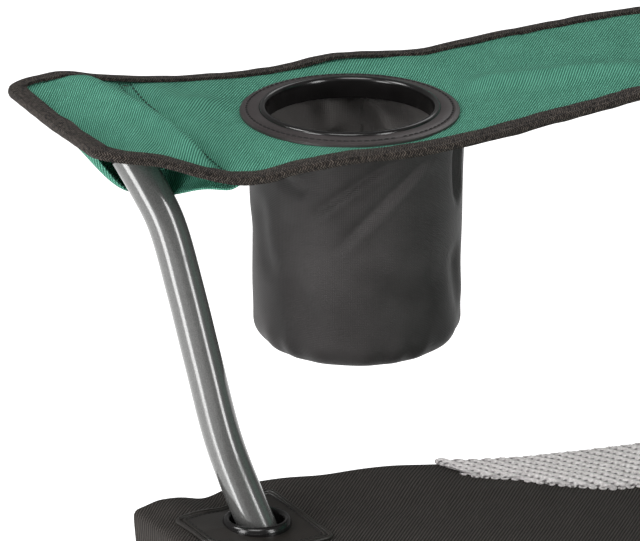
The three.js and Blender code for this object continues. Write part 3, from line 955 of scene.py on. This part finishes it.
# ---- cup holder ------------------------------------------------------------
def cup_holder():
    level = ARM_Z - ARM_SAG + 1.2
    at = np.array([RING[0], RING[1], level])
    outer, inner = RING_OUTER + 0.8, RING_INNER
    flange = [(inner + 3.2, 0.2), (outer - 0.8, 0.0), (outer, 0.6), (outer - 0.1, 1.7),
              (outer - 1.4, 2.5), (outer - 2.9, 2.7), (outer - 3.4, 2.45), (outer - 3.9, 2.7),
              (inner + 5.4, 3.1), (inner + 3.2, 3.0)]
    trim = turned("cup_ring_trim", flange, at, sides=160)
    finish_piece(trim, BODY["cup_ring"], RING_VINYL)
    lip = [(inner + 3.1, 0.4), (inner + 3.3, 3.2), (inner + 2.5, 4.2), (inner + 1.3, 4.5),
           (inner + 0.2, 3.9), (inner - 0.3, 2.6), (inner, -1.5), (inner + 0.4, -6.6),
           (inner + 2.0, -6.9), (inner + 2.2, -2.0)]
    ring = turned("cup_ring_lip", lip, at, sides=160)
    finish_piece(ring, BODY["cup_ring"], GLOSS, "cup_ring")
    angle = np.linspace(0, 2 * math.pi, 140)
    seam_r = outer - 3.4
    path = np.stack([at[0] + seam_r * np.cos(angle), at[1] + seam_r * np.sin(angle),
                     np.full_like(angle, level + 2.75)], axis=1)
    thread = stitches("cup_ring_stitches", [path], 3.4, 2.5, 0.5)
    finish_piece(thread, BODY["cup_ring"], THREAD)


CREASED_DEPTH = 115              # of the bag's wall, over which the creases are placed
# Creases of the bag: angle round it in degrees and share of its depth, at the start and then at
# the end, then width in mm and depth in mm.
BAG_CREASES = [(22, 0.02, -44, 0.56, 3.6, 1.9), (4, 0.0, -62, 0.42, 3.2, 1.6),
               (42, 0.0, 45, 0.42, 3.5, 3.2), (-78, 0.14, -52, 0.22, 5, 2.2),
               (-66, 0.55, -44, 1.0, 8, 1.8), (40, 0.55, 52, 0.98, 6, 1.8),
               (-20, 0.70, 20, 0.80, 12, 1.2), (-95, 0.30, -80, 0.75, 9, 1.6),
               (150, 0.02, 128, 0.34, 8, 5.0), (176, 0.0, 168, 0.30, 7, 4.5),
               (118, 0.02, 108, 0.36, 9, 3.5), (205, 0.02, 196, 0.40, 9, 4.0),
               (-150, 0.10, -120, 0.62, 11, 2.2), (75, 0.05, 84, 0.55, 6, 1.8)]


def crease_field(degrees, share):
    """Inward depth of the creases at an angle and a share of the bag's depth."""
    total = np.zeros(np.broadcast(degrees, share).shape)
    per_degree = BAG_R * math.pi / 180
    for a0, s0, a1, s1, width, depth in BAG_CREASES:
        ax, ay = a0 * per_degree, s0 * CREASED_DEPTH
        bx, by = a1 * per_degree, s1 * CREASED_DEPTH
        for turn in (-360, 0, 360):
            px = (degrees + turn) * per_degree
            py = share * CREASED_DEPTH + 0 * px
            length = math.hypot(bx - ax, by - ay)
            along = ((px - ax) * (bx - ax) + (py - ay) * (by - ay)) / length
            off = ((px - ax) * (by - ay) - (py - ay) * (bx - ax)) / length
            off = off + 3.0 * np.sin(along / length * math.pi)
            fade = ease(along, 0, length * 0.3) * ease(-along, -length, -length * 0.7)
            total += depth * fade * (bump(off, 0, width) - 0.6 * bump(off, width, width))
    return total


def cup_bag():
    top = ARM_Z - ARM_SAG - 0.5
    depth = top - BAG_LOW
    rows, cols = 220, 120
    # the cloth's ends meet in a seam on the side away from the chair's middle
    angle = np.linspace(150, 510, rows, endpoint=False)[:, None]
    turn = np.radians(angle)
    s = np.linspace(0, 1, cols)[None, :]
    # down the wall, round the bottom's edge and in to the middle
    corner = 13.0
    wall = depth - corner
    lengths = np.array([wall, corner * math.pi / 2, BAG_R - corner - 1.5])
    run = s * lengths.sum()
    share = np.clip(run / wall, 0, 1)
    bend = np.clip((run - lengths[0]) / lengths[1], 0, 1) * math.pi / 2
    rest = np.clip(run - lengths[0] - lengths[1], 0, None)
    radius = BAG_R - 1.8 * share - corner + corner * np.cos(bend) - rest
    z = top - np.minimum(run, wall) - corner * np.sin(bend)
    flare = 0.8 * bump(share, 0, 0.06)
    fade = ease(share, 0.0, 0.12)
    drop = share * depth
    uneven = ripple(BAG_R * np.cos(turn) + 0.6 * drop, BAG_R * np.sin(turn) - 0.8 * drop, 21, 46)
    inside = (crease_field(angle, share) + 0.9 * uneven) * fade
    gather = 0.55 * np.sin(turn * 17 + 1.3 * np.sin(turn * 5))
    gather = gather * bump(run, wall + 7, 9)
    radius = radius + flare - inside * ease(-run, -(wall + 16), -(wall - 22)) - gather
    x, y = radius * np.cos(turn), radius * np.sin(turn)
    # the bottom is pulled up a little, unevenly
    lift = 2.5 * ease(rest, 0, 30) - 1.2 * ripple(x, y, 22, 30) * ease(rest, 2, 14)
    points = grid_of(BAG[0] + x, BAG[1] + y, z + lift)
    uvs = grid_of(angle * BAG_R * math.pi / 180, run)
    # the middle of the bottom is closed by one last ring at almost no radius
    points[:, -1, :2] = BAG[:2] + (points[:, -1, :2] - BAG[:2]) * 0.02
    bag = cloth("cup_bag_cloth", points, 0.9, uvs, flip=True, wrap=True, under=1)
    finish_piece(bag, None, NYLON, "cup_bag", inside=LINING_WITH_PAINTED_LIGHT)
    # the wall's cut, with the round bottom added to its length as the same area
    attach(bag, BODY["cup_bag"])
    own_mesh(bag)


# ---- seat ------------------------------------------------------------------
SEAT_CLOTH = 2.0
BAND = 101.0                     # black border of the seat, from its hem to the green middle
SIDE_SAG, FRONT_SAG = 13.0, 16.0
HEM_DROP = 13.0                  # the front hem turned down


def seat_z(x, y):
    """Middle of the seat's cloth: it hangs between the four corners."""
    side = np.clip(1 - (x / 267) ** 2, 0, None)
    deep = np.clip(1 - ((y - MID_Y) / 261) ** 2, 0, None) ** 2
    z = SEAT_Z - SIDE_SAG * deep - FRONT_SAG * side
    wave = 1.1 * ripple(x, y, 31, 70) + 0.45 * ripple(x, y, 32, 26)
    beside = np.hypot(np.abs(x) + EYELET[0], y - EYELET[1])
    # the hem dips beside the eyelet, lifts behind it and droops at the free corner
    q = y - SEAT_FRONT
    hem = (2.0 * bump(q, 76, 34) - 3.2 * bump(q, 34, 10) - 3.5 * ease(-q, -12, 4)
           + 0.9 * bump(q, 160, 22) + 2.8 * bump(q, 128, 24) + 2.5)
    return z + wave * ease(beside, 26, 60) + hem * ease(np.abs(x), 262, 306)


def seat_half(y):
    """From the seat's middle to its side."""
    share = (y - SEAT_FRONT) / (SEAT_REAR - SEAT_FRONT)
    return SEAT_HALF_FRONT + (SEAT_HALF_REAR - SEAT_HALF_FRONT) * share


def seat_sheet(x_low, x_high, y_low, y_high, cell, hole=None):
    """A stretch of the seat; x_low and x_high are its sides as functions of y."""
    rows = max(3, int((y_high - y_low) / cell) + 1)
    widest = np.max(x_high(np.array([y_low, y_high])) - x_low(np.array([y_low, y_high])))
    cols = max(3, int(widest / cell) + 1)
    v = np.linspace(0, 1, rows)[:, None]
    u = np.linspace(0, 1, cols)[None, :]
    y = y_low + (y_high - y_low) * v + 0 * u
    x = x_low(y) + (x_high(y) - x_low(y)) * u
    points = np.stack([x, y, seat_z(x, y)], axis=-1)
    keep = None if hole is None else round_hole(points, hole, 14.5, cell * 0.8)
    if y_low == SEAT_FRONT:
        # the hem rolls over and hangs down
        first, bend = points[:1], 3.0
        rolled = [first + [0, -bend * math.cos(a), -bend * (1 - math.sin(a))]
                  for a in np.linspace(math.pi / 2, math.pi / 10, 4)[:0:-1]]
        hung = [first + [0, -bend + 1.2 * share, -bend - HEM_DROP * share]
                for share in np.linspace(1, 0.2, 6)]
        hem = [*hung, *rolled]
        points = np.concatenate([*hem, points])
        if keep is not None:
            keep = np.concatenate([np.ones((len(hem), keep.shape[1]), bool), keep])
    # rows run back (y) and columns right (x): swap so that the normal points up
    points = points.transpose(1, 0, 2)
    keep = None if keep is None else keep.T
    return points, keep


def constant(value):
    return lambda y: np.full_like(np.asarray(y, float), value)


def seat_corner(word, side):
    node = f"seat_{word}_corner"
    eyelet = centre_mm(f"seat_{word}_eyelet")
    inner, outer = constant(side * CORNER_X), lambda y: side * seat_half(y)
    low, high = (outer, inner) if side < 0 else (inner, outer)
    points, keep = seat_sheet(low, high, SEAT_FRONT, BAND_REAR, 1.8, eyelet)
    piece = cloth(f"{node}_cloth", points, SEAT_CLOTH, keep=keep)
    finish_piece(piece, BODY[node], BLACK, node)
    patch(word, side, eyelet)
    # a rounded rim with a dark throat that narrows to the post
    section = [(13.2, -8), (12.2, -11.5), (11.4, -12.5), (11.4, -13.5), (13.6, -13.2),
               (14.0, -4), (14.2, -2.4), (16.4, -2.4), (17.1, -1.2), (17.3, 0.8), (16.9, 2.6),
               (15.9, 3.7), (14.8, 3.9), (13.8, 3.2), (13.2, 1.8)]
    base = eyelet.copy()
    base[2] = seat_z(base[0], base[1]) + 0.6
    ring = turned(f"seat_{word}_eyelet_ring", section, base, (0, 0, 1), 96)
    finish_piece(ring, BODY[node], GLOSS, f"seat_{word}_eyelet")


# Corners of the vinyl patch from the eyelet's middle: inwards, and back.
PATCH = [(-18, -36), (-23, -8), (-27, 22), (28, 28), (31, -1), (12, -34)]


def patch(word, side, eyelet):
    """A stitched vinyl patch round the eyelet, with double piping."""
    corners = [np.array([eyelet[0] - side * dx, eyelet[1] + dy]) for dx, dy in PATCH]
    outline = np.array([a + (b - a) * (k / 24) for a, b in zip(corners, corners[1:] + corners[:1])
                        for k in range(24)])
    for _ in range(5):
        outline = (np.roll(outline, 1, axis=0) + 2 * outline + np.roll(outline, -1, axis=0)) / 4
    start = eyelet[:2] + unit(outline - eyelet[:2]) * 14.6

    def on_seat(plan, lift):
        """Points on the seat's cloth, lifted off it."""
        z = seat_z(plan[..., 0], plan[..., 1]) + SEAT_CLOTH / 2 + lift
        return np.concatenate([plan, z[..., None]], axis=-1)

    rings = np.linspace(0, 1, 26)[None, :, None]
    plan = start[:, None] + (outline[:, None] - start[:, None]) * rings
    piece = cloth(f"seat_{word}_patch", on_seat(plan, 0.55), 1.1, flip=side > 0, wrap=True)
    body = BODY[f"seat_{word}_corner"]
    finish_piece(piece, body, PATCH_VINYL)
    for tag, share, size in (("outer", 0.99, 1.25), ("inner", 0.86, 0.8)):
        loop = on_seat(start + (outline - start) * share, 1.0)
        up = np.tile(UP, (len(loop), 1))
        across = np.cross(tangents(loop, True), up)
        piping = sweep(f"seat_{word}_patch_{tag}_piping", loop, across, up, circle(12) * size,
                       closed=True)
        finish_piece(piping, body, PATCH_VINYL)
    rows = []
    for share in (0.93, 0.78):
        line = on_seat(start + (outline - start) * share, 1.2)
        rows.append(np.concatenate([line, line[:1]]))
    seam = stitches(f"seat_{word}_patch_stitches", rows, 2.8, 2.1, 0.45)
    finish_piece(seam, body, THREAD)


def seat_band():
    points, _ = seat_sheet(constant(-CORNER_X), constant(CORNER_X), SEAT_FRONT, BAND_REAR, 2.6)
    piece = cloth("seat_front_band_cloth", points, SEAT_CLOTH)
    finish_piece(piece, None, BLACK, "seat_front_band")
    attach(piece, BODY["seat_front_band"])
    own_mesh(piece)


def seat_panels():
    for tag, low, high in (("front", BAND_REAR, SEAT_MIDDLE), ("rear", SEAT_MIDDLE, SEAT_REAR)):
        node = f"seat_{tag}_panel"
        strips = [("left", lambda y: -seat_half(y), lambda y: BAND - seat_half(y), BLACK,
                   "black_fabric"),
                  ("middle", lambda y: BAND - seat_half(y), lambda y: seat_half(y) - BAND, GREEN,
                   "green_fabric"),
                  ("right", lambda y: seat_half(y) - BAND, seat_half, BLACK, "black_fabric")]
        for word, x_low, x_high, finish, slot in strips:
            cell = 2.4 if word == "left" and tag == "front" else 3.6
            points, _ = seat_sheet(x_low, x_high, low, high, cell)
            piece = cloth(f"seat_{tag}_{word}_cloth", points, SEAT_CLOTH)
            finish_piece(piece, None, finish, node if word == "middle" else None)
            fold_seat(piece, node)
        for word, side in (("left", -1), ("right", 1)):
            mesh_strip(word, side, tag, node)


def fold_seat(piece, node):
    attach(piece, BODY[node])
    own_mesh(piece)


MESH_START = 161.0               # where the light mesh starts at the hem, behind the seat's front
RIB_SIDE, RIB_BACK = 0.755, 0.655    # the way the mesh's ribs run, inwards and back
MESH_WIDTH = profile([(161, 0), (170, 15), (192, 21), (203, 30), (220, 37), (236, 42),
                      (400, 44), (532, 44)], 5)


def mesh_strip(word, side, tag, node):
    """Light spacer mesh sewn over the hem; its inner edge ends in a row of loops."""
    low, high = SEAT_MIDDLE, SEAT_REAR - 2
    if tag == "front":
        low, high = SEAT_FRONT + MESH_START, SEAT_MIDDLE
    rows, cols = int((high - low) / 1.5), 34
    y = np.linspace(low, high, rows)[:, None] + np.zeros((1, cols))
    width = np.maximum(MESH_WIDTH(y - SEAT_FRONT), 0.6)
    u = np.linspace(0, 1, cols)[None, :]
    out = seat_half(y) + 1.5 - (width + 1.5) * u
    x = side * out
    along = RIB_SIDE * -out + RIB_BACK * y
    across = -RIB_BACK * out - RIB_SIDE * y
    rib = np.sin(2 * math.pi * across / RIB_PITCH)
    z = seat_z(x, y) + SEAT_CLOTH / 2 + 1.5 + 0.55 * rib
    z = z - 1.3 * bump(u, 0, 0.05) - 0.7 * bump(u, 1, 0.05)
    points = np.stack([x, y, z], axis=-1)
    uvs = np.stack([along, across], axis=-1)
    piece = cloth(f"seat_{tag}_{word}_mesh", points, 1.9, uvs, flip=side > 0)
    finish_piece(piece, None, SPACER)
    fold_seat(piece, node)
    arcs = []
    turn = np.linspace(0, math.pi, 7)
    for place in np.arange(low + 8, high - 2, 4.8):
        reach = seat_half(place) - max(MESH_WIDTH(place - SEAT_FRONT), 0.6)
        line = np.stack([side * (reach + 0.4 - 1.7 * np.sin(turn)), place + 1.9 * np.cos(turn),
                         0 * turn], axis=1)
        line[:, 2] = seat_z(line[:, 0], line[:, 1]) + SEAT_CLOTH / 2 + 0.5
        arcs.append(shell_of(tube("arc", line, 0.55, 6, ends=False)))
    loops = merged(f"seat_{tag}_{word}_mesh_loops", arcs)
    finish_piece(loops, None, SPACER)
    fold_seat(loops, node)


# ---- back ------------------------------------------------------------------
BACK_HALF = 242.0                # from the back's middle to a sleeve


def back_surface(u, v):
    """u from -1 at the left sleeve to 1 at the right, v from the lower edge to the top."""
    dip = 26 * (1 - u ** 2)
    z = BACK_LOW[2] + (BACK_HIGH[2] - dip - BACK_LOW[2]) * v
    # it leaves the sleeves on their rear sides, clear of the sliders as the chair folds
    bow = 24 * (1 - u ** 2) * (0.4 + 0.6 * v)
    y = upright_y(z) + 8 + 9 * (1 - np.abs(u) ** 14) + bow
    x = BACK_HALF * u
    return x, y, z


def back():
    rows, cols = 170, 130
    u = np.linspace(-1, 1, rows)[:, None]
    v = np.linspace(0, 1, cols)[None, :]
    x, y, z = np.broadcast_arrays(*back_surface(u, v))
    y = y + 2.2 * ripple(x, z, 51, 120) * (1 - u ** 4) + 0.6 * ripple(x, z, 52, 40)
    points = np.stack([x, y, z], axis=-1)
    uvs = np.stack([x, z], axis=-1)
    slots = np.zeros((rows - 1, cols - 1), int)
    border = np.abs(u[:-1, 0] + u[1:, 0]) / 2 >= 0.72
    slots[border] = 1
    piece = cloth("back_cloth", points, CLOTH, uvs, slots=slots)
    finish_piece(piece, None, GREEN, "back_panel", inside=BLACK)
    pieces = [piece]
    for tag, j in (("top", -1), ("lower", 0)):
        edge = resample(points[:, j], TAPE_STEP)
        ahead = tangents(edge)
        inward = np.tile(-UP if tag == "top" else UP, (len(edge), 1))
        inward = unit(inward - ahead * np.einsum("ij,ij->i", inward, ahead)[:, None])
        up = np.cross(ahead, inward)
        tape = binding(f"back_{tag}_binding", edge, inward, up, seed=61)
        pieces.append(finish_piece(tape, None, TAPE))
    for part in pieces:
        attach(part, BODY["back_panel"])
        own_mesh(part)
    sleeve_r = POST_R + 1.7
    for side, word in ((-1, "left"), (1, "right")):
        z = np.concatenate([np.linspace(BACK_LOW[2] - 2, UPRIGHT_HIGH[2] + 1, 90),
                            UPRIGHT_HIGH[2] + np.array([3.5, 5.5, 6.8, 7.4])])
        radius = sleeve_r + 0.35 * ripple(z, 0, 70 + side, 30)
        radius[-4:] = [10.4, 8.2, 5.0, 1.2]
        angle = np.linspace(0, 2 * math.pi, 48, endpoint=False)[:, None]
        wall = grid_of(side * CORNER + radius * np.cos(angle),
                       upright_y(z) + radius * np.sin(angle), z)
        flat = grid_of(angle * sleeve_r, z)
        sleeve = cloth(f"back_{word}_sleeve", wall, 0.9, flat, wrap=True)
        finish_piece(sleeve, BODY[f"rear_{word}_upright"], BLACK)
        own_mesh(sleeve)


# ---- other CAD nodes' finishes ---------------------------------------------
def carried_over():
    for node, obj in frame["nodes"].items():
        if SLOT.get(node) == "black_plastic":
            for slot in obj.material_slots:
                slot.material = MOULDED


# ---- camera, light and floor -----------------------------------------------
AZIMUTH, ELEVATION = 62, 20      # of the camera, in degrees
DISTANCE = 4.0
VIEW_WIDTH = 0.31616             # what the view's width takes in at the eyelet
EYELET_IN_VIEW = (31.1, 125.7)   # from the eyelet to the view's middle, right and up, mm


def direction(azimuth, elevation):
    """From the chair towards a camera or light; azimuth 0 is in front, 90 on the right."""
    a, e = math.radians(azimuth), math.radians(elevation)
    return Vector((math.sin(a) * math.cos(e), -math.cos(a) * math.cos(e), math.sin(e)))


def camera():
    back_way = direction(AZIMUTH, ELEVATION)
    right = direction(AZIMUTH + 90, 0)
    up = back_way.cross(right)
    look = Vector(EYELET * MM) + right * EYELET_IN_VIEW[0] * MM + up * EYELET_IN_VIEW[1] * MM
    data = bpy.data.cameras.new("camera")
    data.sensor_width = 36
    data.lens = DISTANCE * data.sensor_width / VIEW_WIDTH
    cam = add_object("camera", data)
    cam.location = look + back_way * DISTANCE
    cam.rotation_mode = "QUATERNION"
    cam.rotation_quaternion = (-back_way).to_track_quat("-Z", "Y")
    data.clip_end = 100
    bpy.context.scene.camera = cam


LIT_POINT = Vector((-0.2, -0.2, 0.56))      # what the lights face


def softbox(name, azimuth, elevation, distance, width, height, power):
    data = bpy.data.lights.new(name, "AREA")
    data.shape = "RECTANGLE"
    data.size, data.size_y = width, height
    data.energy = power
    light = add_object(name, data)
    way = direction(azimuth, elevation)
    light.location = LIT_POINT + way * distance
    light.rotation_mode = "QUATERNION"
    light.rotation_quaternion = way.to_track_quat("Z", "Y")
    light.visible_camera = False


def studio():
    # two tall boxes stand near the chair: they make the two stripes along its tubes
    softbox("left_box", 11, 4, 1.45, 0.50, 1.5, 20)
    softbox("right_box", 111, 16, 1.55, 0.40, 1.3, 15)
    softbox("top", 50, 60, 3.2, 1.6, 1.6, 44)
    softbox("key", -20, 40, 2.6, 0.9, 0.9, 26)
    softbox("rim", 215, 40, 3.4, 1.6, 1.6, 16)
    world = bpy.data.worlds.new("studio")
    world.use_nodes = True
    sky = world.node_tree.nodes["Background"].inputs
    sky["Color"].default_value = (1, 1, 1, 1)
    sky["Strength"].default_value = 0.20
    bpy.context.scene.world = world
    mesh = bpy.data.meshes.new("floor")
    size = 14
    mesh.from_pydata([(-size, -size, 0), (size, -size, 0), (size, size, 0), (-size, size, 0)],
                     [], [(0, 1, 2, 3)])
    floor = add_object("floor", mesh)
    finish = Finish("floor", 0.9)
    finish.shader.inputs["Emission Color"].default_value = (1, 1, 1, 1)
    # the white floor glows more away from the chair, so that undersides stay dark
    place = finish.node("ShaderNodeNewGeometry")
    reach = finish.node("ShaderNodeVectorMath", operation="LENGTH")
    finish.join(place.outputs["Position"], reach.inputs[0])
    glow = finish.times(finish.ramp(reach.outputs["Value"], 0.55, 1.15), 0.6)
    finish.join(finish.plus(glow, 0.25), finish.shader.inputs["Emission Strength"])
    finish.colour(finish.mix(finish.noise(3, 2), (0.80, 0.80, 0.80), (0.84, 0.84, 0.84)))
    mesh.materials.append(finish.material)


# ---- the chair -------------------------------------------------------------
x_tubes()
posts_and_uprights()
rivets()
mouldings()
for name, sign in (("left", -1), ("right", 1)):
    has_cup = name == "left"
    arm_front(name, sign, has_cup)
    arm_rear(name, sign, has_cup)
    seat_corner(name, sign)
cup_holder()
cup_bag()
seat_band()
seat_panels()
back()
carried_over()
camera()
studio()
bpy.context.scene.view_settings.view_transform = "Standard"
